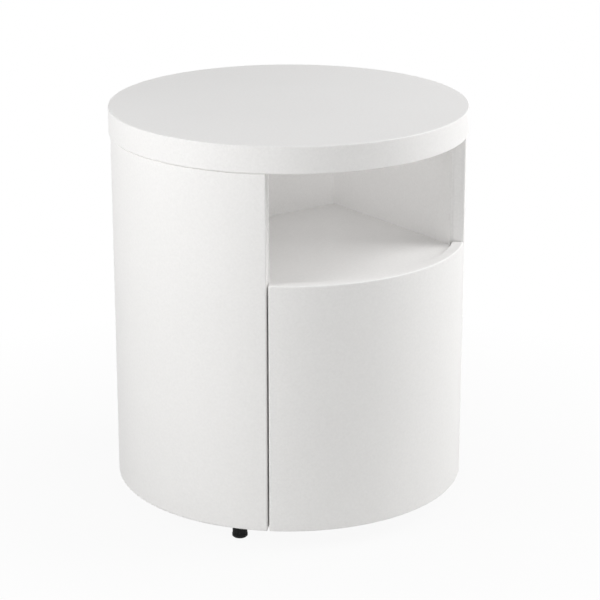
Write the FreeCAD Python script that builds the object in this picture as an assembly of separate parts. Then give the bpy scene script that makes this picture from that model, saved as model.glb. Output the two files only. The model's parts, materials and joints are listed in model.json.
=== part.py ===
import FreeCAD, Part
import math
import os

# Drum nightstand. A bent shell wraps a round carcass and leaves an opening at the front:
# an open niche above, and below it one deep drawer whose curved front is flush with the shell.
# Millimetres. The floor is z = 0, the drum's axis is Z, the front faces -Y and +X is its right.

V = FreeCAD.Vector
ALONG_X = V(1, 0, 0)
ALONG_Y = V(0, 1, 0)
ALONG_Z = V(0, 0, 1)

# Overall sizes
body_diameter = 495.0
body_height = 501.0
top_overhang = 2.5
top_thickness = 37.0
foot_height = 25.0

# Boards
panel_thickness = 16.0
shell_thickness = 16.0
board_ease = 2.0
inner_ease = 1.0
top_ease = 1.8
glue_gap = 0.2

# Opening, niche and drawer front. The walls stand just inside the opening's edges, and a
# closed space is left between the back wall and the shell.
opening_half_angle = 43.44
niche_wall_setback = 3.2
rear_space_depth = 117.0
front_height = 349.5
lip_rise = 5.5
lip_gap = 3.0
front_side_gap = 2.3

# Drawer box
drawer_board = 12.0
drawer_bottom_thickness = 8.0
drawer_bottom_height = 6.0
drawer_groove = 5.0
drawer_floor_clearance = 8.0
drawer_head_clearance = 14.0
drawer_rear_gap = 13.5
corner_block_width = 20.0
corner_block_depth = 20.0

# Ball-bearing runners: three nested channels a side, in the longest stock length that fits
runner_length_step = 50.0
runner_front_gap = 6.0
runner_height = 45.0
runner_thickness = 12.7
runner_height_on_drawer = 80.0
runner_sheet = 1.2
runner_web_gap = 1.4
runner_lip_gap = 1.3
ball_diameter = 2.8
ball_clearance = 0.3
balls_per_row = 7
cage_length = 110.0
cage_width = 5.0
cage_sheet = 0.8
cage_start_share = 0.26

# Dowels
dowel_diameter = 8.0
dowel_chamfer = 0.8
dowel_fit = 0.1
dowel_end_gap = 1.0
dowel_long = 18.0
dowel_short = 9.0
dowel_in_top = 12.0
drawer_dowel_in_back = 16.0
drawer_dowel_in_side = 8.0
drawer_dowel_diameter = 6.0
shell_dowel_first_angle = 75.0
shell_dowel_count = 7
bay_dowel_shares = (0.12, 0.88)
bay_back_dowel_share = 0.70
niche_dowel_shares = (0.32, 0.68)
niche_back_dowel_share = 0.35
top_dowel_shares = (0.10, 0.90)
top_back_dowel_share = 0.75
drawer_dowel_shares = (0.15, 0.50, 0.85)

# Screws
carcass_screw_diameter = 7.0
carcass_screw_length = 50.0
carcass_screw_head_diameter = 10.0
carcass_screw_head_height = 4.0
carcass_screw_shares = (0.28, 0.78)
carcass_screw_back_share = 0.40
small_screw_diameter = 3.5
small_screw_head_diameter = 6.5
small_screw_head_height = 1.8
small_screw_tip = 2.0
screw_fit = 0.1
socket_depth_share = 0.6
socket_width_share = 0.4
runner_screw_head_height = 0.7
runner_wall_screw_length = 14.0
runner_drawer_screw_length = 10.0
runner_screw_shares = (0.08, 0.50, 0.92)
front_screw_diameter = 4.0
front_screw_head_diameter = 8.0
front_screw_head_height = 2.6
front_screw_length = 35.0
front_screw_shares = (0.12, 0.50, 0.88)

# Angle brackets that hold the top from inside the closed spaces behind the niche
bracket_leg = 24.0
bracket_width = 20.0
bracket_sheet = 2.0
bracket_screw_offset = 15.0
bracket_screw_length = 14.0
bracket_side_shares = (0.38, 0.76)
bracket_back_share = 0.40

# Levelling feet
foot_inset = 32.5
front_foot_angle = 55.0
rear_foot_angle = 125.0
pad_diameter = 21.5
pad_grip_diameter = 20.4
pad_base_height = 6.5
pad_chamfer = 1.6
pad_flutes = 14
pad_flute_radius = 1.3
pad_clearance = 0.3
stem_diameter = 8.0
stem_seat_height = 8.0
stem_overrun = 14.5
thread_clearance = 0.3
nut_diameter = 12.0
nut_height = 13.0

# Push-to-open latch set into the wall behind the drawer
latch_height_on_drawer = 150.0
latch_flange_diameter = 16.0
latch_flange_thickness = 2.0
latch_tube_diameter = 10.0
latch_tube_length = 40.0
latch_wall = 1.5
latch_mouth_length = 1.5
latch_rod_diameter = 4.6
latch_collar_diameter = 6.2
latch_collar_length = 10.0
latch_tip_diameter = 7.0
latch_tip_length = 3.0
latch_clearance = 0.3
spring_wire = 0.7
spring_diameter = 5.4
spring_turns = 9

# Cuts run past the faces they open by this much
overrun = 1.0

# Radii and levels that follow
body_r = body_diameter / 2
top_r = body_r + top_overhang
shell_inner_r = body_r - shell_thickness
carcass_r = shell_inner_r - glue_gap
shelf_front_r = shell_inner_r - lip_gap
base_z = foot_height
base_top_z = base_z + panel_thickness
lip_z = base_z + front_height
shelf_top_z = lip_z - lip_rise
shelf_z = shelf_top_z - panel_thickness
body_top_z = base_z + body_height
niche_half_width = shell_inner_r * math.sin(math.radians(opening_half_angle)) - niche_wall_setback
wall_outer_x = niche_half_width + panel_thickness
wall_mid_x = niche_half_width + panel_thickness / 2
back_rear_y = shell_inner_r - rear_space_depth
back_face_y = back_rear_y - panel_thickness
back_mid_y = back_rear_y - panel_thickness / 2
wall_front_y = -math.sqrt(carcass_r ** 2 - wall_outer_x ** 2)
wall_length = back_rear_y - wall_front_y

box_outer_x = niche_half_width - runner_thickness
box_inner_x = box_outer_x - drawer_board
box_z = base_top_z + drawer_floor_clearance
box_top_z = shelf_z - drawer_head_clearance
drawer_box_height = box_top_z - box_z
box_rear_y = back_face_y - drawer_rear_gap
tray_z = box_z + drawer_bottom_height
tray_top_z = tray_z + drawer_bottom_thickness
tray_half_width = box_inner_x + drawer_groove

front_rear_y = -math.sqrt(shell_inner_r ** 2 - niche_half_width ** 2)
runner_room = box_rear_y - front_rear_y - runner_front_gap
runner_length = runner_length_step * math.floor(runner_room / runner_length_step)
runner_y = box_rear_y - runner_length
runner_z = box_z + runner_height_on_drawer
ball_lane = ball_diameter + 2 * ball_clearance

foot_circle_radius = body_r - foot_inset

latch_z = box_z + latch_height_on_drawer
latch_tip_y = box_rear_y + latch_clearance


def at(radius, angle):
    """Point in plan, its angle in degrees from the front, positive towards +X."""
    turn = math.radians(angle)
    return V(radius * math.sin(turn), -radius * math.cos(turn), 0)


def arc(radius, start, end):
    return Part.Arc(at(radius, start), at(radius, (start + end) / 2), at(radius, end)).toShape()


def line(p, q):
    return Part.LineSegment(p, q).toShape()


def prism(edges, z, height):
    solid = Part.Face(Part.Wire(edges)).extrude(V(0, 0, height))
    solid.translate(V(0, 0, z))
    return solid


def block(x0, x1, y0, y1, z0, z1):
    return Part.makeBox(x1 - x0, y1 - y0, z1 - z0, V(x0, y0, z0))


def rod(point, direction, diameter, length):
    return Part.makeCylinder(diameter / 2, length, point, direction)


def facing(shape, point, direction):
    """Put a shape made along +Z at a point, along a direction."""
    placed = shape.copy()
    placed.Placement = FreeCAD.Placement(point, FreeCAD.Rotation(ALONG_Z, direction))
    return placed


def mirrored(shape):
    return shape.mirror(V(0, 0, 0), ALONG_X)


def both_sides(shapes):
    return shapes + [mirrored(shape) for shape in shapes]


def cut(shape, tools):
    return shape.cut(Part.makeCompound(tools)) if tools else shape


def eased(shape, radius, edges=None):
    return shape.makeFillet(radius, edges if edges else shape.Edges)


def save(node, shapes):
    """Write one node: a solid, or a group of separate like solids."""
    shapes = shapes if isinstance(shapes, list) else [shapes]
    solids = [solid for shape in shapes for solid in shape.Solids]
    shape = solids[0] if len(solids) == 1 else Part.makeCompound(solids)
    shape.exportStep("parts/" + node + ".step")


# Round boards and curved walls

def curved_wall(start, end, inset, z, height):
    """Stretch of the drum's wall, its outer edges and ends eased.
    inset moves its straight ends in from the two radial lines."""
    outer = math.degrees(math.asin(inset / body_r))
    inner = math.degrees(math.asin(inset / shell_inner_r))
    edges = [
        arc(body_r, start + outer, end - outer),
        line(at(body_r, end - outer), at(shell_inner_r, end - inner)),
        arc(shell_inner_r, end - inner, start + inner),
        line(at(shell_inner_r, start + inner), at(body_r, start + outer)),
    ]
    wall = prism(edges, z, height)
    return eased(wall, board_ease, [edge for edge in wall.Edges if not at_radius(edge, shell_inner_r)])


def at_radius(edge, radius):
    """Whether both ends of an edge lie at a radius from the drum's axis."""
    return all(math.isclose(math.hypot(end.X, end.Y), radius, rel_tol=1e-6) for end in edge.Vertexes)


def carcass_board(z, height):
    """Round board inside the shell, set back where the drawer front passes it."""
    side = opening_half_angle
    edges = [
        arc(carcass_r, side, 360 - side),
        line(at(carcass_r, -side), at(shelf_front_r, -side)),
        arc(shelf_front_r, -side, side),
        line(at(shelf_front_r, side), at(carcass_r, side)),
    ]
    return prism(edges, z, height)


def side_wall(z, height):
    wall = block(niche_half_width, wall_outer_x, -body_r, back_rear_y, z, z + height)
    return wall.common(carcass_board(z, height))


def back_wall(z, height):
    return block(-niche_half_width, niche_half_width, back_face_y, back_rear_y, z, z + height)


# Dowels and screws

def pegs(points, direction, behind, ahead, diameter=dowel_diameter):
    """Dowels through a joint plane, and the holes that take them."""
    dowels = []
    holes = []
    for point in points:
        start = point - direction * behind
        peg = rod(start, direction, diameter, behind + ahead)
        rims = [edge for edge in peg.Edges if edge.Closed and len(edge.Vertexes) == 1]
        dowels.append(peg.makeChamfer(dowel_chamfer, rims))
        hole_start = start - direction * dowel_end_gap
        hole_length = behind + ahead + 2 * dowel_end_gap
        holes.append(rod(hole_start, direction, diameter + 2 * dowel_fit, hole_length))
    return dowels, holes


def wall_points(side_shares, back_share, z):
    """Six places on the walls' centre lines: two on each side wall, two on the back wall."""
    points = [V(wall_mid_x, wall_front_y + share * wall_length, z) for share in side_shares]
    points.append(V(back_share * niche_half_width, back_mid_y, z))
    return points + [V(-point.x, point.y, point.z) for point in points]


def screw(diameter, length, head_diameter, head_height):
    """Screw along +Z: its head lies below z = 0, its pointed shank above."""
    shank = Part.makeCylinder(diameter / 2, length - small_screw_tip)
    tip = Part.makeCone(diameter / 2, 0, small_screw_tip, V(0, 0, length - small_screw_tip))
    head = Part.makeCylinder(head_diameter / 2, head_height, V(0, 0, -head_height))
    socket_width = head_diameter * socket_width_share
    socket_depth = head_height * socket_depth_share
    socket = Part.makeBox(socket_width, socket_width, socket_depth)
    socket.translate(V(-socket_width / 2, -socket_width / 2, -head_height))
    return head.fuse([shank, tip]).removeSplitter().cut(socket)


def screws(places, diameter, length, head_diameter, head_height):
    """Screws and their pilot holes at (point, direction) places."""
    pattern = screw(diameter, length, head_diameter, head_height)
    pilot = Part.makeCylinder(diameter / 2 + screw_fit, length)
    made = [facing(pattern, point, direction) for point, direction in places]
    holes = [facing(pilot, point, direction) for point, direction in places]
    return made, holes


# Levelling feet

def foot_points():
    angles = (front_foot_angle, rear_foot_angle, -front_foot_angle, -rear_foot_angle)
    names = ("front_right", "rear_right", "front_left", "rear_left")
    return [(name, at(foot_circle_radius, angle)) for name, angle in zip(names, angles)]


def foot_pad(point):
    height = foot_height - pad_clearance
    base = rod(V(0, 0, 0), ALONG_Z, pad_diameter, pad_base_height)
    rims = [edge for edge in base.Edges if edge.Closed and len(edge.Vertexes) == 1]
    base = base.makeChamfer(pad_chamfer, rims)
    grip = rod(V(0, 0, pad_base_height - pad_chamfer), ALONG_Z, pad_grip_diameter,
               height - pad_base_height + pad_chamfer)
    pad = base.fuse(grip)
    for flute in range(pad_flutes):
        centre = at(pad_grip_diameter / 2 + pad_flute_radius / 2, 360 * flute / pad_flutes)
        centre.z = pad_base_height
        pad = pad.cut(rod(centre, ALONG_Z, 2 * pad_flute_radius, height))
    pad = pad.cut(rod(V(0, 0, stem_seat_height), ALONG_Z, stem_diameter + 2 * screw_fit, height))
    pad.translate(point)
    return pad


def foot_stem(point):
    length = foot_height + stem_overrun - stem_seat_height
    return rod(point + V(0, 0, stem_seat_height), ALONG_Z, stem_diameter, length)


def foot_nut(point):
    nut = rod(point + V(0, 0, base_z), ALONG_Z, nut_diameter, nut_height)
    bore = rod(point + V(0, 0, base_z - overrun), ALONG_Z,
               stem_diameter + 2 * thread_clearance, nut_height + 2 * overrun)
    return nut.cut(bore)


def foot_hole(point):
    return rod(point + V(0, 0, base_z - overrun), ALONG_Z,
               nut_diameter + 2 * screw_fit, panel_thickness + 2 * overrun)


# Angle brackets under the top

def bracket_frames():
    """Where the brackets stand: a point on a wall's outer face and the wall's outward angle."""
    frames = []
    for share in bracket_side_shares:
        y = wall_front_y + share * wall_length
        frames.append((V(wall_outer_x, y, body_top_z), 0))
        frames.append((V(-wall_outer_x, y, body_top_z), 180))
    for side in (-1, 1):
        x = side * bracket_back_share * niche_half_width
        frames.append((V(x, back_rear_y, body_top_z), 90))
    return frames


def bracket():
    half = bracket_width / 2
    upright = block(0, bracket_sheet, -half, half, -bracket_leg, 0)
    flat = block(0, bracket_leg, -half, half, -bracket_sheet, 0)
    holes = [
        rod(V(-overrun, 0, -bracket_screw_offset), ALONG_X,
            small_screw_diameter + 2 * screw_fit, bracket_leg),
        rod(V(bracket_screw_offset, 0, -bracket_leg), ALONG_Z,
            small_screw_diameter + 2 * screw_fit, bracket_leg + overrun),
    ]
    return cut(upright.fuse(flat).removeSplitter(), holes)


def turned(shape, point, angle):
    placed = shape.copy()
    placed.Placement = FreeCAD.Placement(point, FreeCAD.Rotation(ALONG_Z, angle))
    return placed


def brackets():
    """Brackets, their screws and the screws' pilot holes."""
    places = [
        (V(bracket_sheet, 0, -bracket_screw_offset), -ALONG_X),
        (V(bracket_screw_offset, 0, -bracket_sheet), ALONG_Z),
    ]
    made, pilots = screws(places, small_screw_diameter, bracket_screw_length,
                          small_screw_head_diameter, small_screw_head_height)
    angles = []
    fixings = []
    holes = []
    for point, angle in bracket_frames():
        angles.append(turned(bracket(), point, angle))
        for shape, group in ((made, fixings), (pilots, holes)):
            group.extend(turned(Part.makeCompound([item]), point, angle) for item in shape)
    return angles, fixings, holes


# Runners: channels are drawn in the XZ plane for the right side and run along Y

def channel(web_x, lip_x, half_height):
    """C-shaped channel; its web stands at web_x and its flanges reach to lip_x."""
    inward = 1 if lip_x > web_x else -1
    x0, x1 = sorted((web_x, lip_x))
    outer = block(x0, x1, runner_y, runner_y + runner_length,
                  runner_z - half_height, runner_z + half_height)
    hollow_x = sorted((web_x + inward * runner_sheet, lip_x + inward * overrun))
    inner_half = half_height - runner_sheet
    hollow = block(hollow_x[0], hollow_x[1], runner_y - overrun, runner_y + runner_length + overrun,
                   runner_z - inner_half, runner_z + inner_half)
    return outer.cut(hollow)


outer_web_x = niche_half_width
middle_web_x = outer_web_x - runner_sheet - runner_web_gap
inner_web_x = box_outer_x
outer_half = runner_height / 2
middle_half = outer_half - runner_sheet - ball_lane
inner_half = middle_half - runner_sheet - ball_lane
inner_flange_x = middle_web_x - runner_sheet - runner_web_gap
lane_x = (inner_web_x + runner_sheet + inner_flange_x) / 2


def runner_screw_places(x, direction):
    return [(V(x, runner_y + share * runner_length, runner_z), direction)
            for share in runner_screw_shares]


def ball_cage(lane_height):
    """Strips above and below, each carrying a row of balls between two channels."""
    start = runner_y + cage_start_share * runner_length
    pitch = cage_length / balls_per_row
    strips = []
    for side in (-1, 1):
        z = runner_z + side * lane_height
        strip = block(lane_x - cage_width / 2, lane_x + cage_width / 2, start,
                      start + cage_length, z - cage_sheet / 2, z + cage_sheet / 2)
        balls = [Part.makeSphere(ball_diameter / 2, V(lane_x, start + (ball + 0.5) * pitch, z))
                 for ball in range(balls_per_row)]
        strips.append(strip.fuse(balls))
    return strips


# Latch, made along +Y from the tip backwards

def latch():
    """Housing, plunger, tip and spring of the push-to-open latch."""
    centre = V(0, 0, latch_z)
    flange_y = back_face_y - latch_flange_thickness
    tube_end_y = back_face_y + latch_tube_length
    bore_diameter = latch_tube_diameter - 2 * latch_wall
    mouth_diameter = latch_rod_diameter + 2 * latch_clearance
    bore_y = flange_y + latch_mouth_length
    spring_end_y = tube_end_y - latch_wall

    def turned_rod(y0, y1, diameter):
        return rod(centre + ALONG_Y * y0, ALONG_Y, diameter, y1 - y0)

    housing = turned_rod(flange_y, back_face_y, latch_flange_diameter)
    housing = housing.fuse(turned_rod(back_face_y, tube_end_y, latch_tube_diameter))
    housing = housing.removeSplitter().cut(turned_rod(bore_y, spring_end_y, bore_diameter))
    housing = housing.cut(turned_rod(flange_y - overrun, bore_y + overrun, mouth_diameter))

    tip_end_y = latch_tip_y + latch_tip_length
    collar_y = bore_y + latch_clearance
    plunger_end_y = collar_y + latch_collar_length
    plunger = turned_rod(tip_end_y, collar_y + overrun, latch_rod_diameter)
    plunger = plunger.fuse(turned_rod(collar_y, plunger_end_y, latch_collar_diameter))
    tip = turned_rod(latch_tip_y, tip_end_y, latch_tip_diameter)

    spring_length = spring_end_y - plunger_end_y - 2 * latch_clearance - spring_wire
    coil_r = (spring_diameter - spring_wire) / 2
    helix = Part.makeHelix(spring_length / spring_turns, spring_length, coil_r)
    wire = Part.Wire(Part.makeCircle(spring_wire / 2, V(coil_r, 0, 0), ALONG_Y))
    coil = Part.Wire(helix.Edges).makePipeShell([wire], True, True)
    start = centre + ALONG_Y * (plunger_end_y + latch_clearance + spring_wire / 2)
    return housing, plunger.removeSplitter(), tip, facing(coil, start, ALONG_Y)


def latch_hole():
    return rod(V(0, back_face_y - overrun, latch_z), ALONG_Y,
               latch_tube_diameter + 2 * screw_fit, panel_thickness + 2 * overrun)


# Groups of dowels and screws that join the carcass

shell_step = (360 - 2 * shell_dowel_first_angle) / (shell_dowel_count - 1)
shell_angles = [shell_dowel_first_angle + shell_step * step for step in range(shell_dowel_count)]

bay_dowels, bay_dowel_holes = pegs(
    wall_points(bay_dowel_shares, bay_back_dowel_share, shelf_z),
    ALONG_Z, dowel_long, dowel_short)
niche_dowels, niche_dowel_holes = pegs(
    wall_points(niche_dowel_shares, niche_back_dowel_share, shelf_top_z),
    ALONG_Z, dowel_short, dowel_long)
top_dowels, top_dowel_holes = pegs(
    wall_points(top_dowel_shares, top_back_dowel_share, body_top_z),
    ALONG_Z, dowel_long, dowel_in_top)
shell_mid_r = body_r - shell_thickness / 2
shell_top_dowels, shell_top_holes = pegs(
    [at(shell_mid_r, angle) + V(0, 0, body_top_z) for angle in shell_angles],
    ALONG_Z, dowel_long, dowel_in_top)

shell_dowels = []
shell_dowel_holes = []
for level in (base_z + panel_thickness / 2, shelf_z + panel_thickness / 2):
    for angle in shell_angles:
        made, holes = pegs([at(shell_inner_r, angle) + V(0, 0, level)], at(1, angle),
                           dowel_long, dowel_short)
        shell_dowels.extend(made)
        shell_dowel_holes.extend(holes)

carcass_head_z = base_z + carcass_screw_head_height
carcass_screws, carcass_screw_holes = screws(
    [(point, ALONG_Z) for point in
     wall_points(carcass_screw_shares, carcass_screw_back_share, carcass_head_z)],
    carcass_screw_diameter, carcass_screw_length,
    carcass_screw_head_diameter, carcass_screw_head_height)
carcass_head_holes = [
    rod(V(point.x, point.y, base_z - overrun), ALONG_Z,
        carcass_screw_head_diameter + 2 * screw_fit, carcass_screw_head_height + overrun)
    for point in wall_points(carcass_screw_shares, carcass_screw_back_share, base_z)]

top_brackets, top_bracket_screws, top_bracket_holes = brackets()

wall_screws, wall_screw_holes = screws(
    runner_screw_places(outer_web_x - runner_sheet, ALONG_X),
    small_screw_diameter, runner_wall_screw_length,
    small_screw_head_diameter, runner_screw_head_height)
drawer_runner_screws, drawer_runner_holes = screws(
    runner_screw_places(inner_web_x + runner_sheet, -ALONG_X),
    small_screw_diameter, runner_drawer_screw_length,
    small_screw_head_diameter, runner_screw_head_height)


# Carcass

def make_carcass():
    shell = curved_wall(opening_half_angle, 360 - opening_half_angle, 0, base_z, body_height)
    save("curved_shell", cut(shell, shell_dowel_holes + shell_top_holes))

    top = Part.makeCylinder(top_r, top_thickness, V(0, 0, body_top_z))
    rims = [edge for edge in top.Edges if edge.Closed and len(edge.Vertexes) == 1]
    top = eased(top, top_ease, rims)
    save("top_panel", cut(top, top_dowel_holes + shell_top_holes + top_bracket_holes))

    bottom = carcass_board(base_z, panel_thickness)
    bottom = cut(bottom, [foot_hole(point) for name, point in foot_points()])
    bottom = cut(bottom, carcass_screw_holes + carcass_head_holes + shell_dowel_holes)
    save("bottom_panel", bottom)

    shelf = carcass_board(shelf_z, panel_thickness)
    save("middle_shelf", cut(shelf, bay_dowel_holes + niche_dowel_holes + shell_dowel_holes))

    bay_height = shelf_z - base_top_z
    bay_side = cut(side_wall(base_top_z, bay_height),
                   carcass_screw_holes + bay_dowel_holes + wall_screw_holes)
    save("bay_right_wall", bay_side)
    save("bay_left_wall", mirrored(bay_side))
    bay_back = back_wall(base_top_z, bay_height)
    save("bay_back_wall", cut(bay_back, carcass_screw_holes + bay_dowel_holes + [latch_hole()]))

    niche_height = body_top_z - shelf_top_z
    niche_holes = niche_dowel_holes + top_dowel_holes + top_bracket_holes
    niche_side = cut(side_wall(shelf_top_z, niche_height), niche_holes)
    save("niche_right_wall", niche_side)
    save("niche_left_wall", mirrored(niche_side))
    save("niche_back_wall", cut(back_wall(shelf_top_z, niche_height), niche_holes))


def make_fixings():
    save("carcass_screws", carcass_screws)
    save("bay_wall_dowels", bay_dowels)
    save("niche_wall_dowels", niche_dowels)
    save("top_dowels", top_dowels)
    save("shell_dowels", shell_dowels)
    save("shell_top_dowels", shell_top_dowels)
    save("top_brackets", top_brackets)
    save("top_bracket_screws", top_bracket_screws)


def make_feet():
    save("foot_nuts", [foot_nut(point) for name, point in foot_points()])
    for name, point in foot_points():
        save(name + "_foot_pad", foot_pad(point))
        save(name + "_foot_stem", foot_stem(point))


# Runners

def make_runners():
    outer = cut(channel(outer_web_x, inner_web_x + runner_lip_gap, outer_half), wall_screw_holes)
    middle = channel(middle_web_x, inner_web_x + runner_sheet + runner_web_gap / 2, middle_half)
    inner = cut(channel(inner_web_x, inner_flange_x, inner_half), drawer_runner_holes)
    members = {
        "runner_outer": outer,
        "runner_middle": middle,
        "runner_inner": inner,
        "outer_ball_cage": Part.makeCompound(ball_cage(middle_half + ball_lane / 2)),
        "inner_ball_cage": Part.makeCompound(ball_cage(inner_half + ball_lane / 2)),
    }
    for name, shape in members.items():
        save("right_" + name, shape)
        save("left_" + name, mirrored(shape))
    save("runner_wall_screws", both_sides(wall_screws))
    save("runner_drawer_screws", both_sides(drawer_runner_screws))


# Drawer

def make_drawer():
    fitted = Part.makeCylinder(carcass_r, drawer_box_height, V(0, 0, box_z))

    tray_edge = block(-tray_half_width, tray_half_width, -body_r, box_rear_y, tray_z, tray_top_z)
    save("drawer_bottom", tray_edge.common(fitted))

    back_y = box_rear_y - drawer_board
    dowel_y = box_rear_y - drawer_board / 2
    tall = box_top_z - tray_top_z
    dowel_points = [V(box_inner_x, dowel_y, tray_top_z + share * tall)
                    for share in drawer_dowel_shares]
    dowels, dowel_holes = pegs(dowel_points, ALONG_X, drawer_dowel_in_back,
                               drawer_dowel_in_side, drawer_dowel_diameter)
    save("drawer_dowels", both_sides(dowels))

    side = block(box_inner_x, box_outer_x, -body_r, box_rear_y, box_z, box_top_z)
    side = cut(side.common(fitted), dowel_holes + drawer_runner_holes + [tray_edge])
    save("drawer_right_side", side)
    save("drawer_left_side", mirrored(side))

    back = block(-box_inner_x, box_inner_x, back_y, box_rear_y, tray_top_z, box_top_z)
    save("drawer_back", cut(back, both_sides(dowel_holes)))

    block_x = box_inner_x - corner_block_width
    block_rear_y = corner_block_depth - math.sqrt(carcass_r ** 2 - box_inner_x ** 2)
    corner = block(block_x, box_inner_x, -body_r, block_rear_y, tray_top_z, box_top_z)
    places = [(V(block_x + corner_block_width / 2, block_rear_y, tray_top_z + share * tall),
               -ALONG_Y) for share in front_screw_shares]
    front_screws, front_holes = screws(places, front_screw_diameter, front_screw_length,
                                       front_screw_head_diameter, front_screw_head_height)
    corner = cut(corner.common(fitted), front_holes)
    save("drawer_corner_blocks", both_sides([corner]))
    save("drawer_front_screws", both_sides(front_screws))

    front = curved_wall(-opening_half_angle, opening_half_angle, front_side_gap,
                        base_z, front_height)
    front = eased(front, inner_ease, [edge for edge in front.Edges if at_radius(edge, shell_inner_r)])
    save("drawer_front", cut(front, both_sides(front_holes)))


def make_latch():
    housing, plunger, tip, spring = latch()
    save("push_latch_housing", housing)
    save("push_latch_plunger", plunger)
    save("push_latch_tip", tip)
    save("push_latch_spring", spring)


os.makedirs("parts", exist_ok=True)
make_carcass()
make_fixings()
make_feet()
make_runners()
make_drawer()
make_latch()
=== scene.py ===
# %% [markdown]
# # A drum nightstand, dressed for a studio photograph
#
# The object is a round bedside table in white lacquer. A bent shell wraps a round carcass,
# and at the front it leaves an opening: a niche above, and one deep drawer below whose
# curved front is flush with the shell. Every part that moves or fits is already at its
# real size in the frame. What is left for Blender is the look: the finish of each surface,
# the threads of the feet, the coil of one spring, the camera and the light.

# %% The frame
import bpy
import bmesh
import json
import math
from mathutils import Matrix, Vector


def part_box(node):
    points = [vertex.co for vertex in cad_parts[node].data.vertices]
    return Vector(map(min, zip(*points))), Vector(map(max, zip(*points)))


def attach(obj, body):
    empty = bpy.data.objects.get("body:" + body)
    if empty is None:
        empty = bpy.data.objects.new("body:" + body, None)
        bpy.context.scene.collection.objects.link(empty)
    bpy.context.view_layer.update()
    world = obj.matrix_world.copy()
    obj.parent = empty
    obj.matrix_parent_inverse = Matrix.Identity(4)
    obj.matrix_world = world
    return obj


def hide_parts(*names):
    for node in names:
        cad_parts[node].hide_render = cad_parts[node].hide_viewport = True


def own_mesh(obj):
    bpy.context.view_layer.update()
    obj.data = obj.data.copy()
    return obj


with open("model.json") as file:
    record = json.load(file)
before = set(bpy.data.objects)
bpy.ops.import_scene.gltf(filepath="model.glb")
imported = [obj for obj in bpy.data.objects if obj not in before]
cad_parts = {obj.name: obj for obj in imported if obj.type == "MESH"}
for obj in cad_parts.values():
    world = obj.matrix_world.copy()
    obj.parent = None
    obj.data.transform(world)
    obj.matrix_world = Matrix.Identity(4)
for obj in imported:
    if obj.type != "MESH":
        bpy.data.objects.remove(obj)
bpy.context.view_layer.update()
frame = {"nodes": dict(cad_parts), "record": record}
MM = 0.001

# %% [markdown]
# ## The camera
#
# The photograph was taken from the front left and a little above. Its upright edges stay
# upright, as they do with a shifted lens. A shift as large as that would push the object out
# of every other view, so this camera tilts down instead. It stands further back, with a
# longer lens, which keeps the uprights nearly parallel.

# %% The camera
CAMERA_PLACE = Vector((-1.776, -2.395, 1.256))
CAMERA_TURN = math.radians(-36.86)
CAMERA_DIP = math.radians(18.22)
LENS_MM = 132.0
SENSOR_MM = 36.0

# A camera that is turned this far about X looks level
LEVEL = math.radians(90)

camera_data = bpy.data.cameras.new("camera")
camera_data.lens = LENS_MM
camera_data.sensor_width = SENSOR_MM
camera = bpy.data.objects.new("camera", camera_data)
camera.location = CAMERA_PLACE
camera.rotation_euler = (LEVEL - CAMERA_DIP, 0, CAMERA_TURN)
bpy.context.scene.collection.objects.link(camera)
bpy.context.scene.camera = camera
print("camera", round(CAMERA_PLACE.length, 2), "m from the drum's axis at the floor")

# %% [markdown]
# ## Helpers for nodes
#
# Colours are written as sRGB hex values, the way a paint chart gives them. Blender's nodes
# work in linear light, so one function turns them. A second one adds a node, gives it its
# settings and joins it up, so that each material reads as a short list of what it does. A
# third starts a material. The last turns a size in millimetres into a noise scale, so that
# a pattern is set by what could be measured on the real thing.

# %% Helpers for nodes
# The Mix node has sockets for every kind of data, and these are its colour ones
SHARE, COLOUR_A, COLOUR_B, MIXED = 0, 6, 7, 2


def linear(hex_code, alpha=1.0):
    """Linear colour of an sRGB hex value."""
    channels = [int(hex_code[i:i + 2], 16) / 255 for i in (1, 3, 5)]
    return [c / 12.92 if c <= 0.04045 else ((c + 0.055) / 1.055) ** 2.4 for c in channels] + [alpha]


def add_node(tree, kind, settings=None, inputs=None):
    """Add a node; an input is a plain value or another node's output socket."""
    node = tree.nodes.new(kind)
    for name, value in (settings or {}).items():
        setattr(node, name, value)
    for name, value in (inputs or {}).items():
        if isinstance(value, bpy.types.NodeSocket):
            tree.links.new(value, node.inputs[name])
        else:
            node.inputs[name].default_value = value
    return node


def new_material(name):
    """An empty material: itself, its tree, its shader and its Object coordinates."""
    material = bpy.data.materials.new(name)
    material.use_nodes = True
    tree = material.node_tree
    shader = tree.nodes["Principled BSDF"]
    coordinates = tree.nodes.new("ShaderNodeTexCoord").outputs["Object"]
    return material, tree, shader, coordinates


def waves_per_metre(size_mm):
    """Noise scale at which one blob is about this many millimetres wide."""
    return 1 / (size_mm * MM)


print("the grey #808080 is", round(linear("#808080")[0], 3), "in linear light")

# %% [markdown]
# ## Soft boxes
#
# The darkest stripe on the drawer front lies halfway between two bright ones, which is the
# mark of large soft boxes on both sides of the object. The left side has a far one and a
# near one, which together let the light fall off towards the floor as it does there. The
# right side has a low one and a high one, so that the drawer and the niche floor are both
# lit. A box under the camera opens up the front, and a low one behind keeps the back from
# going grey. In the photograph the niche is brighter than such a deep hole would be, so a
# very dim panel under the top stands for that lifted shadow. Lamps are hidden from the
# camera. The boxes could be fewer and brighter, but large dim ones keep a white object from
# clipping to plain white. For the same reason the left boxes and the low right one give
# light but no reflection: seen from the far side at a low angle, the top would mirror them
# and burn out.

# %% Soft boxes
VIEW_AZIMUTH = -36.9
AIM_HEIGHT = 0.35


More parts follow.
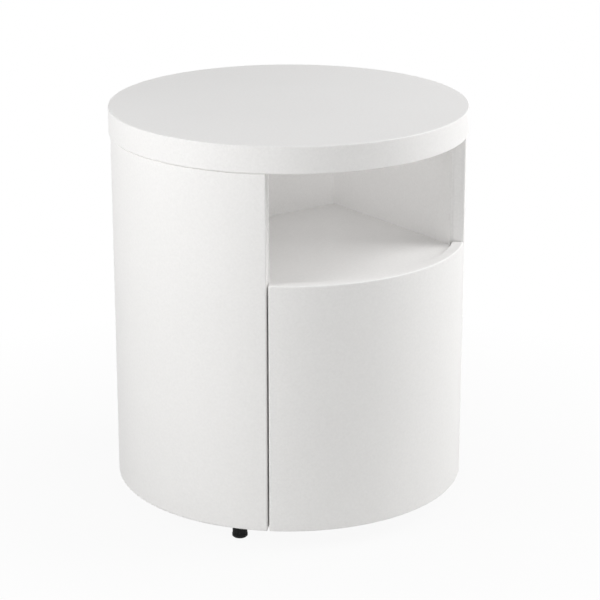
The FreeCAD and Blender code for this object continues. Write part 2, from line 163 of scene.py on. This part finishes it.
def area_lamp(name, place, rotation, width, tall, power, mirrored=True):
    """Rectangular lamp that shines along its own -Z and is hidden from the camera."""
    data = bpy.data.lights.new(name, "AREA")
    data.shape = "RECTANGLE"
    data.size = width
    data.size_y = tall
    data.energy = power
    lamp = bpy.data.objects.new(name, data)
    lamp.location = place
    lamp.rotation_euler = rotation
    lamp.visible_camera = False
    lamp.visible_glossy = mirrored
    bpy.context.scene.collection.objects.link(lamp)


def soft_box(name, azimuth, elevation, distance, width, tall, power, mirrored=True):
    """Area lamp that faces the nightstand; azimuth 0 is the camera's side, and it grows to +X."""
    turn = math.radians(VIEW_AZIMUTH + azimuth)
    lift = math.radians(elevation)
    away = Vector((math.cos(lift) * math.sin(turn), -math.cos(lift) * math.cos(turn), math.sin(lift)))
    place = Vector((0, 0, AIM_HEIGHT)) + distance * away
    rotation = (-away).to_track_quat("-Z", "Y").to_euler()
    area_lamp(name, place, rotation, width, tall, power, mirrored)


# Azimuth and elevation in degrees; distance, width and height in metres; power in watts
soft_box("left_box", -68, 26, 2.3, 1.5, 1.5, 14.2, mirrored=False)
soft_box("near_left_box", -55, 26, 1.4, 0.9, 0.9, 5.4, mirrored=False)
soft_box("low_right_box", 98, 20, 2.3, 1.3, 1.2, 24.4, mirrored=False)
soft_box("high_right_box", 96, 48, 2.4, 1.3, 1.3, 20.2)
soft_box("front_box", 0, 5, 3.0, 1.4, 1.0, 20.2)
soft_box("back_box", 180, -2, 2.4, 1.8, 0.5, 9.6)

# The niche's panel hangs a little below the underside of the top and shines straight down
under_top = (0, -30 * MM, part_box("top_panel")[0].z - 2 * MM)
area_lamp("niche_panel", under_top, rotation=(0, 0, 0), width=0.26, tall=0.20, power=0.064)

# %% [markdown]
# ## The studio round it
#
# Everything round the object is plain white in the photograph. A world bright enough for
# that would flood the object with light and wash out its shades. So the world has two
# strengths: a ray that shows it to the eye, straight, in a reflection or through glass,
# meets full white, and every other ray meets a dim white that only lifts the shadows.

# %% The studio round it
FILL_STRENGTH = 0.18


def shows_to_eye(tree):
    """Socket that is 1 for camera, transmission and glossy rays, and 0 for the others."""
    path = add_node(tree, "ShaderNodeLightPath")
    seen = add_node(tree, "ShaderNodeMath", {"operation": "MAXIMUM"}, {
        0: path.outputs["Is Camera Ray"], 1: path.outputs["Is Transmission Ray"]})
    seen = add_node(tree, "ShaderNodeMath", {"operation": "MAXIMUM"}, {
        0: seen.outputs[0], 1: path.outputs["Is Glossy Ray"]})
    return seen.outputs[0]


world = bpy.data.worlds.new("studio")
world.use_nodes = True
bpy.context.scene.world = world
tree = world.node_tree
tree.nodes.clear()
seen = shows_to_eye(tree)
fill = add_node(tree, "ShaderNodeBackground", {}, {
    "Color": linear("#FFFFFF"), "Strength": FILL_STRENGTH})
white = add_node(tree, "ShaderNodeBackground", {}, {"Color": linear("#FFFFFF"), "Strength": 1.0})
mixed = add_node(tree, "ShaderNodeMixShader", {}, {
    0: seen, 1: fill.outputs[0], 2: white.outputs[0]})
add_node(tree, "ShaderNodeOutputWorld", {}, {"Surface": mixed.outputs[0]})
bpy.context.scene.view_settings.view_transform = "Standard"
print("world", world.name, "fills at", FILL_STRENGTH)

# %% [markdown]
# ## The floor
#
# The nightstand stands on pale paper. Paper alone would come out grey and end in an edge
# against the white world, and paper that only glows would lose the soft shadow that holds
# the object to the ground. So the eye meets a mix: near the object a little real paper
# shows through the white glow and keeps some of the shadow, and further out the glow takes
# over. Rays that light the object meet the real paper everywhere, and bounce off it.

# %% The floor
FLOOR_SIZE = 12.0

# The share of glow near the object, and the metres from the axis over which it grows to all
FLOOR_GLOW = 0.93
SHADOW_REACH = (0.3, 0.8)

floor_mesh = bpy.data.meshes.new("floor")
bm = bmesh.new()
bmesh.ops.create_grid(bm, x_segments=1, y_segments=1, size=FLOOR_SIZE / 2)
bm.to_mesh(floor_mesh)
bm.free()
floor = bpy.data.objects.new("floor", floor_mesh)
bpy.context.scene.collection.objects.link(floor)

material, tree, shader, coordinates = new_material("floor_paper")
shader.inputs["Base Color"].default_value = linear("#C4C4C2")
shader.inputs["Roughness"].default_value = 0.9
seen = shows_to_eye(tree)
away = add_node(tree, "ShaderNodeVectorMath", {"operation": "LENGTH"}, {0: coordinates})
glow_share = add_node(tree, "ShaderNodeMapRange", {}, {
    "Value": away.outputs["Value"], "From Min": SHADOW_REACH[0], "From Max": SHADOW_REACH[1],
    "To Min": FLOOR_GLOW, "To Max": 1.0})
share = add_node(tree, "ShaderNodeMath", {"operation": "MULTIPLY"}, {
    0: seen, 1: glow_share.outputs["Result"]})
glow = add_node(tree, "ShaderNodeEmission", {}, {"Color": linear("#FFFFFF"), "Strength": 1.0})
mixed = add_node(tree, "ShaderNodeMixShader", {}, {
    0: share.outputs[0], 1: shader.outputs[0], 2: glow.outputs[0]})
tree.links.new(mixed.outputs[0], tree.nodes["Material Output"].inputs["Surface"])
floor_mesh.materials.append(material)
print("floor", FLOOR_SIZE, "m square, plain white from", SHADOW_REACH[1], "m outwards")

# %% [markdown]
# ## White lacquer
#
# The boards are fibreboard sprayed with satin polyurethane lacquer and rubbed down. A
# sprayed coat levels into very low waves, called orange peel, from a millimetre to a
# centimetre wide, and it is never one exact white. The waves could be modelled in the mesh,
# but they are only hundredths of a millimetre high, so they are drawn as a bump, somewhat
# higher than in life so that they show. The colour drifts a little over each board, and
# drops of spray a few millimetres wide that landed half dry leave a faint mottle on it.

# %% White lacquer
# The record's name for each finish, and the material made for it
finishes = {}


def white_lacquer():
    """Satin sprayed lacquer: soft, broad reflections and very faint waves."""
    material, tree, shader, coordinates = new_material("satin_white_lacquer")
    drift = add_node(tree, "ShaderNodeTexNoise", {}, {
        "Vector": coordinates, "Scale": waves_per_metre(120), "Detail": 2.0, "Roughness": 0.5})
    colour = add_node(tree, "ShaderNodeMix", {"data_type": "RGBA"}, {
        SHARE: drift.outputs["Fac"], COLOUR_A: linear("#F9F8F7"), COLOUR_B: linear("#F6F5F4")})
    spray = add_node(tree, "ShaderNodeTexNoise", {}, {
        "Vector": coordinates, "Scale": waves_per_metre(3.2), "Detail": 2.0, "Roughness": 0.6})
    mottle = add_node(tree, "ShaderNodeMapRange", {}, {
        "Value": spray.outputs["Fac"], "From Min": 0.3, "From Max": 0.7})
    colour = add_node(tree, "ShaderNodeMix", {"data_type": "RGBA", "blend_type": "MULTIPLY"}, {
        SHARE: mottle.outputs["Result"], COLOUR_A: colour.outputs[MIXED],
        COLOUR_B: linear("#FAFAFA")})
    tree.links.new(colour.outputs[MIXED], shader.inputs["Base Color"])
    rubbed = add_node(tree, "ShaderNodeTexNoise", {}, {
        "Vector": coordinates, "Scale": waves_per_metre(14), "Detail": 3.0, "Roughness": 0.6})
    gloss = add_node(tree, "ShaderNodeMapRange", {}, {
        "Value": rubbed.outputs["Fac"], "To Min": 0.46, "To Max": 0.56})
    tree.links.new(gloss.outputs["Result"], shader.inputs["Roughness"])
    peel = add_node(tree, "ShaderNodeTexNoise", {}, {
        "Vector": coordinates, "Scale": waves_per_metre(9), "Detail": 3.0, "Roughness": 0.5})
    bump = add_node(tree, "ShaderNodeBump", {}, {
        "Height": peel.outputs["Fac"], "Strength": 1.0, "Distance": 0.2 * MM})
    tree.links.new(bump.outputs["Normal"], shader.inputs["Normal"])
    shader.inputs["IOR"].default_value = 1.5
    return material


finishes["white_lacquer"] = white_lacquer()
print("made", finishes["white_lacquer"].name)

# %% [markdown]
# ## Birch plywood
#
# The drawer box is clear-lacquered birch plywood. Its faces show one pale veneer with fine
# streaks along the grain, and its edges show the plies: every second one is cut across the
# grain and looks darker, with thin dark glue lines between. An image could be wrapped round
# each board, but a board is a solid, so the plies are worked out from the depth below its
# face. The same pattern then comes out right on faces, edges and grooves. Every board needs
# its own directions, so each one has a material of its own.

# %% Birch plywood
# Each board's thickness, grain and width axes (0 X, 1 Y, 2 Z), and its number of plies
PLYWOOD_BOARDS = {
    "drawer_right_side": ((0, 1, 2), 9),
    "drawer_left_side": ((0, 1, 2), 9),
    "drawer_back": ((1, 0, 2), 9),
    "drawer_bottom": ((2, 1, 0), 7),
    "drawer_corner_blocks": ((1, 2, 0), 15),
}

# The count of plies starts this share of a ply before the board, and ends this share of the
# board past it
FACE_MARGIN = 0.05

# The share of each ply that shows as glue
GLUE_SHARE = 0.1

# How fast each pattern changes along the grain, where across it is 1
STREAK_ALONG_GRAIN = 0.03
CLOUD_ALONG_GRAIN = 0.16

# How far clouds and streaks darken the veneer, and the tone that they start from
CLOUD_TONE = 0.55
STREAK_TONE = 0.5
FIRST_TONE = -0.02


def birch_plywood(node, axes, plies):
    """Plywood for one board, with plies across its thickness and streaks along its grain."""
    material, tree, shader, coordinates = new_material("birch_plywood_" + node)
    low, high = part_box(node)
    depth_axis = axes[0]
    ply = (high[depth_axis] - low[depth_axis]) / plies
    split = add_node(tree, "ShaderNodeSeparateXYZ", {}, {0: coordinates})
    depth, along, across = [split.outputs[axis] for axis in axes]
    turned = add_node(tree, "ShaderNodeCombineXYZ", {}, {0: across, 1: along, 2: depth})

    # The count starts before the first face and runs on past the last one, so that each face
    # lies inside one ply
    count = add_node(tree, "ShaderNodeMapRange", {"clamp": False}, {
        "Value": depth, "From Min": low[depth_axis] - FACE_MARGIN * ply,
        "From Max": low[depth_axis] + (1 + FACE_MARGIN) * plies * ply,
        "To Min": 0.0, "To Max": float(plies)})

    # Every second ply is crossed, and those are the ones whose half count ends above a half
    half = add_node(tree, "ShaderNodeMath", {"operation": "MULTIPLY"}, {
        0: count.outputs[0], 1: 0.5})
    phase = add_node(tree, "ShaderNodeMath", {"operation": "FRACT"}, {0: half.outputs[0]})
    crossed = add_node(tree, "ShaderNodeMath", {"operation": "GREATER_THAN"}, {
        0: phase.outputs[0], 1: 0.5})

    # Streaks and clouds are drawn out along the grain, and together they set the tone
    stretch = add_node(tree, "ShaderNodeMapping", {}, {
        "Vector": turned.outputs[0], "Scale": (1.0, STREAK_ALONG_GRAIN, 1.0)})
    streaks = add_node(tree, "ShaderNodeTexNoise", {}, {
        "Vector": stretch.outputs[0], "Scale": waves_per_metre(1.6), "Detail": 4.0,
        "Roughness": 0.62})
    figure = add_node(tree, "ShaderNodeMapping", {}, {
        "Vector": turned.outputs[0], "Scale": (1.0, CLOUD_ALONG_GRAIN, 1.0)})
    clouds = add_node(tree, "ShaderNodeTexNoise", {}, {
        "Vector": figure.outputs[0], "Scale": waves_per_metre(26), "Detail": 2.0,
        "Distortion": 0.6})
    tone = add_node(tree, "ShaderNodeMath", {"operation": "MULTIPLY_ADD"}, {
        0: clouds.outputs["Fac"], 1: CLOUD_TONE, 2: FIRST_TONE})
    tone = add_node(tree, "ShaderNodeMath", {"operation": "MULTIPLY_ADD"}, {
        0: streaks.outputs["Fac"], 1: STREAK_TONE, 2: tone.outputs[0]})
    veneer = add_node(tree, "ShaderNodeMix", {"data_type": "RGBA"}, {
        SHARE: tone.outputs[0], COLOUR_A: linear("#EEDFC2"), COLOUR_B: linear("#D9BF95")})

    # A crossed ply shows its end grain, which is darker and full of pores
    pores = add_node(tree, "ShaderNodeTexNoise", {}, {
        "Vector": coordinates, "Scale": waves_per_metre(0.9), "Detail": 2.0})
    end_grain = add_node(tree, "ShaderNodeMix", {"data_type": "RGBA"}, {
        SHARE: pores.outputs["Fac"], COLOUR_A: linear("#C29B6A"), COLOUR_B: linear("#A67F52")})
    body = add_node(tree, "ShaderNodeMix", {"data_type": "RGBA"}, {
        SHARE: crossed.outputs[0], COLOUR_A: veneer.outputs[MIXED],
        COLOUR_B: end_grain.outputs[MIXED]})

    # The last tenth of each ply is the glue line to the next one
    part = add_node(tree, "ShaderNodeMath", {"operation": "FRACT"}, {0: count.outputs[0]})
    glue = add_node(tree, "ShaderNodeMath", {"operation": "GREATER_THAN"}, {
        0: part.outputs[0], 1: 1 - GLUE_SHARE})
    colour = add_node(tree, "ShaderNodeMix", {"data_type": "RGBA"}, {
        SHARE: glue.outputs[0], COLOUR_A: body.outputs[MIXED], COLOUR_B: linear("#7A5A3A")})
    tree.links.new(colour.outputs[MIXED], shader.inputs["Base Color"])

    gloss = add_node(tree, "ShaderNodeMapRange", {}, {
        "Value": streaks.outputs["Fac"], "To Min": 0.42, "To Max": 0.6})
    tree.links.new(gloss.outputs["Result"], shader.inputs["Roughness"])
    bump = add_node(tree, "ShaderNodeBump", {}, {
        "Height": streaks.outputs["Fac"], "Strength": 0.4, "Distance": 0.08 * MM})
    tree.links.new(bump.outputs["Normal"], shader.inputs["Normal"])
    return material


plywood = {}
for node, (axes, plies) in PLYWOOD_BOARDS.items():
    plywood[node] = birch_plywood(node, axes, plies)
    print("made", plywood[node].name, "with", plies, "plies")

# %% [markdown]
# ## Beech dowels
#
# Dowels are turned from beech. Beech is pinkish and plain, and what marks it are its rays,
# which show as short dark flecks. The flecks could be drawn long, along the grain, but some
# dowels stand and some lie, and they share one material. So the flecks are round dots about
# a millimetre wide, which suit a small dowel whichever way it points.

# %% Beech dowels


def beech_dowel():
    """Raw turned beech with small ray flecks."""
    material, tree, shader, coordinates = new_material("raw_turned_beech")
    flecks = add_node(tree, "ShaderNodeTexVoronoi", {}, {
        "Vector": coordinates, "Scale": waves_per_metre(1.4), "Randomness": 1.0})
    ray = add_node(tree, "ShaderNodeMapRange", {}, {
        "Value": flecks.outputs["Distance"], "From Min": 0.08, "From Max": 0.3,
        "To Min": 1.0, "To Max": 0.0})
    grain = add_node(tree, "ShaderNodeTexNoise", {}, {
        "Vector": coordinates, "Scale": waves_per_metre(5), "Detail": 4.0, "Roughness": 0.6})
    wood = add_node(tree, "ShaderNodeMix", {"data_type": "RGBA"}, {
        SHARE: grain.outputs["Fac"], COLOUR_A: linear("#DDBB93"), COLOUR_B: linear("#C89F74")})
    colour = add_node(tree, "ShaderNodeMix", {"data_type": "RGBA"}, {
        SHARE: ray.outputs["Result"], COLOUR_A: wood.outputs[MIXED], COLOUR_B: linear("#A97C52")})
    tree.links.new(colour.outputs[MIXED], shader.inputs["Base Color"])
    gloss = add_node(tree, "ShaderNodeMapRange", {}, {
        "Value": grain.outputs["Fac"], "To Min": 0.58, "To Max": 0.72})
    tree.links.new(gloss.outputs["Result"], shader.inputs["Roughness"])
    bump = add_node(tree, "ShaderNodeBump", {}, {
        "Height": grain.outputs["Fac"], "Strength": 0.3, "Distance": 0.1 * MM})
    tree.links.new(bump.outputs["Normal"], shader.inputs["Normal"])
    return material


finishes["beech_dowel"] = beech_dowel()
print("made", finishes["beech_dowel"].name)

# %% [markdown]
# ## Zinc-plated steel
#
# Runner channels, brackets, screws and foot stems are mild steel with bright zinc plating.
# Rolled sheet keeps faint lines along its length, here along Y, and the plating clouds over
# in patches a few millimetres wide, which changes its gloss more than its colour. The lines
# could be scratches in the mesh, but they are far too fine for that, so they are a noise
# drawn out along Y that sets the gloss and a very low bump.

# %% Zinc-plated steel
# How fast the lines change along Y, where across it is 1
LINE_ALONG_Y = 0.015


def zinc_plated_steel():
    """Bright zinc on rolled steel: cloudy gloss and faint rolling lines along Y."""
    material, tree, shader, coordinates = new_material("zinc_plated_steel")
    clouds = add_node(tree, "ShaderNodeTexNoise", {}, {
        "Vector": coordinates, "Scale": waves_per_metre(7), "Detail": 3.0, "Roughness": 0.55})
    colour = add_node(tree, "ShaderNodeMix", {"data_type": "RGBA"}, {
        SHARE: clouds.outputs["Fac"], COLOUR_A: linear("#C9CDD1"), COLOUR_B: linear("#AEB3B8")})
    tree.links.new(colour.outputs[MIXED], shader.inputs["Base Color"])
    shader.inputs["Metallic"].default_value = 1.0
    stretch = add_node(tree, "ShaderNodeMapping", {}, {
        "Vector": coordinates, "Scale": (1.0, LINE_ALONG_Y, 1.0)})
    lines = add_node(tree, "ShaderNodeTexNoise", {}, {
        "Vector": stretch.outputs[0], "Scale": waves_per_metre(0.5), "Detail": 2.0})
    both = add_node(tree, "ShaderNodeMath", {"operation": "MULTIPLY"}, {
        0: clouds.outputs["Fac"], 1: lines.outputs["Fac"]})
    gloss = add_node(tree, "ShaderNodeMapRange", {}, {
        "Value": both.outputs[0], "From Min": 0.1, "From Max": 0.45,
        "To Min": 0.26, "To Max": 0.46})
    tree.links.new(gloss.outputs["Result"], shader.inputs["Roughness"])
    bump = add_node(tree, "ShaderNodeBump", {}, {
        "Height": lines.outputs["Fac"], "Strength": 0.25, "Distance": 0.02 * MM})
    tree.links.new(bump.outputs["Normal"], shader.inputs["Normal"])
    return material


finishes["zinc_steel"] = zinc_plated_steel()
print("made", finishes["zinc_steel"].name)

# %% [markdown]
# ## Polished steel
#
# The balls, their cages and the latch spring are bare steel that was ground, pressed or
# drawn bright. Handling leaves a thin film of oil. It could be a coat over the metal, but
# all that the eye sees of it are soft patches in the shine, so it sets the roughness.

# %% Polished steel


def polished_steel():
    """Bright bare steel with a patchy film of oil."""
    material, tree, shader, coordinates = new_material("polished_steel")
    oil = add_node(tree, "ShaderNodeTexNoise", {}, {
        "Vector": coordinates, "Scale": waves_per_metre(4), "Detail": 2.0})
    colour = add_node(tree, "ShaderNodeMix", {"data_type": "RGBA"}, {
        SHARE: oil.outputs["Fac"], COLOUR_A: linear("#D3D5D6"), COLOUR_B: linear("#BDBFC0")})
    tree.links.new(colour.outputs[MIXED], shader.inputs["Base Color"])
    shader.inputs["Metallic"].default_value = 1.0
    gloss = add_node(tree, "ShaderNodeMapRange", {}, {
        "Value": oil.outputs["Fac"], "To Min": 0.1, "To Max": 0.26})
    tree.links.new(gloss.outputs["Result"], shader.inputs["Roughness"])
    return material


finishes["bright_steel"] = polished_steel()
print("made", finishes["bright_steel"].name)

# %% [markdown]
# ## Moulded plastics and rubber
#
# The feet are black polyamide and the latch is grey acetal. Both are moulded in tools whose
# walls are spark-eroded, so the surface has a fine grain of about a third of a millimetre
# that scatters the highlight. The tip of the latch is soft moulded rubber, with a coarser
# and duller grain. Each could have a function of its own, but they differ only in numbers,
# so one function makes all three from two colours, a roughness and a grain. Polyamide has an
# IOR of about 1.5, but the feet in the photograph are nearly black, which takes less shine
# than that, so theirs is lower.

# %% Moulded plastics and rubber


def moulded(name, light, dark, roughness, grain_mm, depth_mm, ior=1.5):
    """Moulded part with a spark-eroded grain; its roughness is given as a lowest and a highest."""
    material, tree, shader, coordinates = new_material(name)
    flow = add_node(tree, "ShaderNodeTexNoise", {}, {
        "Vector": coordinates, "Scale": waves_per_metre(9), "Detail": 2.0})
    colour = add_node(tree, "ShaderNodeMix", {"data_type": "RGBA"}, {
        SHARE: flow.outputs["Fac"], COLOUR_A: linear(light), COLOUR_B: linear(dark)})
    tree.links.new(colour.outputs[MIXED], shader.inputs["Base Color"])
    grain = add_node(tree, "ShaderNodeTexNoise", {}, {
        "Vector": coordinates, "Scale": waves_per_metre(grain_mm), "Detail": 2.0,
        "Roughness": 0.6})
    gloss = add_node(tree, "ShaderNodeMapRange", {}, {
        "Value": grain.outputs["Fac"], "To Min": roughness[0], "To Max": roughness[1]})
    tree.links.new(gloss.outputs["Result"], shader.inputs["Roughness"])
    bump = add_node(tree, "ShaderNodeBump", {}, {
        "Height": grain.outputs["Fac"], "Strength": 0.5, "Distance": depth_mm * MM})
    tree.links.new(bump.outputs["Normal"], shader.inputs["Normal"])
    shader.inputs["IOR"].default_value = ior
    return material


finishes["black_plastic"] = moulded(
    "black_polyamide", light="#0E0E0F", dark="#080809", roughness=(0.46, 0.62),
    grain_mm=0.35, depth_mm=0.05, ior=1.3)
finishes["grey_plastic"] = moulded(
    "grey_acetal", light="#9A9DA0", dark="#8B8E91", roughness=(0.34, 0.5),
    grain_mm=0.35, depth_mm=0.04)
finishes["soft_rubber"] = moulded(
    "soft_rubber", light="#2C2C2D", dark="#222223", roughness=(0.68, 0.85),
    grain_mm=0.6, depth_mm=0.08)
print("finishes", {slot: material.name for slot, material in finishes.items()})

# %% [markdown]
# ## Dress the nodes by their finish
#
# The nodes arrive from the frame with plain materials. They could be dressed one by one,
# but the record already says which finish each node has, so one loop does it, and only the
# plywood boards take their own materials instead.

# %% Dress the nodes
for entry in frame["record"]["subparts"]:
    name = entry["node"]
    material = plywood[name] if name in plywood else finishes[entry["material_slot"]]
    node = frame["nodes"][name]
    node.data.materials.clear()
    node.data.materials.append(material)

# %% [markdown]
# ## Threaded foot stems
#
# Each foot turns on an M8 stem, and when a foot is screwed down its thread comes into view.
# A bump map could fake the thread, but its outline would stay smooth, so the profile of one
# ridge is spun round the stem while it climbs by the pitch, which is how a lathe cuts it.
# The ridge is closed at both ends and sits a little way into a plain core. Each stem
# replaces the plain rod of the frame and keeps its length.

# %% Threaded foot stems
THREAD_PITCH = 1.25 * MM
THREAD_DEPTH = 0.68 * MM
RIDGE_SUNK = 0.04 * MM
STEPS_PER_TURN = 24


def threaded_stem(name, node):
    """Threaded rod in the place of a plain one."""
    low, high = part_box(node)
    centre = (low + high) / 2
    length = high.z - low.z
    crest = (high.x - low.x) / 2
    root = crest - THREAD_DEPTH
    sunk = root - RIDGE_SUNK
    turns = int(length / THREAD_PITCH) - 1
    spare = (length - turns * THREAD_PITCH) / 2

    # Each corner of the ridge: its radius, and its height as a share of the pitch
    profile = [(sunk, 0.03), (crest, 0.4), (crest, 0.6), (sunk, 0.97)]
    start = low.z + spare - THREAD_PITCH / 2
    bm = bmesh.new()
    points = [bm.verts.new((centre.x + radius, centre.y, start + share * THREAD_PITCH))
              for radius, share in profile]
    edges = [bm.edges.new(pair) for pair in zip(points, points[1:] + points[:1])]
    bmesh.ops.spin(bm, geom=points + edges, cent=(centre.x, centre.y, 0), axis=(0, 0, 1),
                   dvec=(0, 0, THREAD_PITCH / STEPS_PER_TURN), angle=math.tau * turns,
                   steps=STEPS_PER_TURN * turns)
    open_ends = [edge for edge in bm.edges if edge.is_boundary]
    bmesh.ops.holes_fill(bm, edges=open_ends, sides=len(profile))

    # The core runs on past the ridge, so both ends of the rod stay plain
    middle = Matrix.Translation((centre.x, centre.y, low.z + length / 2))
    bmesh.ops.create_cone(bm, cap_ends=True, segments=STEPS_PER_TURN, radius1=root,
                          radius2=root, depth=length, matrix=middle)
    bmesh.ops.recalc_face_normals(bm, faces=bm.faces)
    mesh = bpy.data.meshes.new(name)
    bm.to_mesh(mesh)
    bm.free()
    stem = bpy.data.objects.new(name, mesh)
    bpy.context.scene.collection.objects.link(stem)
    mesh.materials.append(finishes["zinc_steel"])
    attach(stem, node.replace("_stem", ""))
    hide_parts(node)
    return stem


for corner in ("front_left", "front_right", "rear_left", "rear_right"):
    stem = threaded_stem(corner + "_threaded_stem", corner + "_foot_stem")
    print(stem.name, len(stem.data.polygons), "faces")

# %% [markdown]
# ## The latch spring
#
# The push-to-open latch holds a small compression spring. It is wound from bright steel wire
# with its two end coils closed, so that it stands square in its bore. A plain tube could
# stand for it, but the gaps between the coils are what let it work, so the wire's round
# section is spun round the axis in three stages: one tight coil, the open coils, and one
# tight coil again. In the real latch it shortens as the plunger is pushed in; here it keeps
# its full length and is fixed to the cabinet.

# %% The latch spring
SPRING_NODE = "push_latch_spring"
SPRING_WIRE = 0.7 * MM
WIRE_SIDES = 12
OPEN_COILS = 7
STEPS_PER_COIL = 28

low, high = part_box(SPRING_NODE)
centre = (low + high) / 2
coil_radius = (high.x - low.x - SPRING_WIRE) / 2

# A closed coil climbs by a little more than its wire, so that it doesn't run into itself
closed_pitch = 1.03 * SPRING_WIRE
open_pitch = (high.y - low.y - SPRING_WIRE - 2 * closed_pitch) / OPEN_COILS
stages = ((1, closed_pitch), (OPEN_COILS, open_pitch), (1, closed_pitch))

bm = bmesh.new()
ring_place = Matrix.Translation((centre.x + coil_radius, low.y + SPRING_WIRE / 2, centre.z))
ring = bmesh.ops.create_circle(bm, segments=WIRE_SIDES, radius=SPRING_WIRE / 2,
                               matrix=ring_place)["verts"]
last = ring + bm.edges[:]
for coils, pitch in stages:
    last = bmesh.ops.spin(bm, geom=last, cent=centre, axis=(0, 1, 0),
                          dvec=(0, pitch / STEPS_PER_COIL, 0), angle=math.tau * coils,
                          steps=STEPS_PER_COIL * coils)["geom_last"]
open_ends = [edge for edge in bm.edges if edge.is_boundary]
bmesh.ops.holes_fill(bm, edges=open_ends, sides=WIRE_SIDES)
bmesh.ops.recalc_face_normals(bm, faces=bm.faces)
spring_mesh = bpy.data.meshes.new("latch_spring_coil")
bm.to_mesh(spring_mesh)
bm.free()
spring_mesh.shade_smooth()
spring = bpy.data.objects.new("latch_spring_coil", spring_mesh)
bpy.context.scene.collection.objects.link(spring)
spring_mesh.materials.append(finishes["bright_steel"])
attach(spring, "cabinet")
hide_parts(SPRING_NODE)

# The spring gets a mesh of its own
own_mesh(spring)
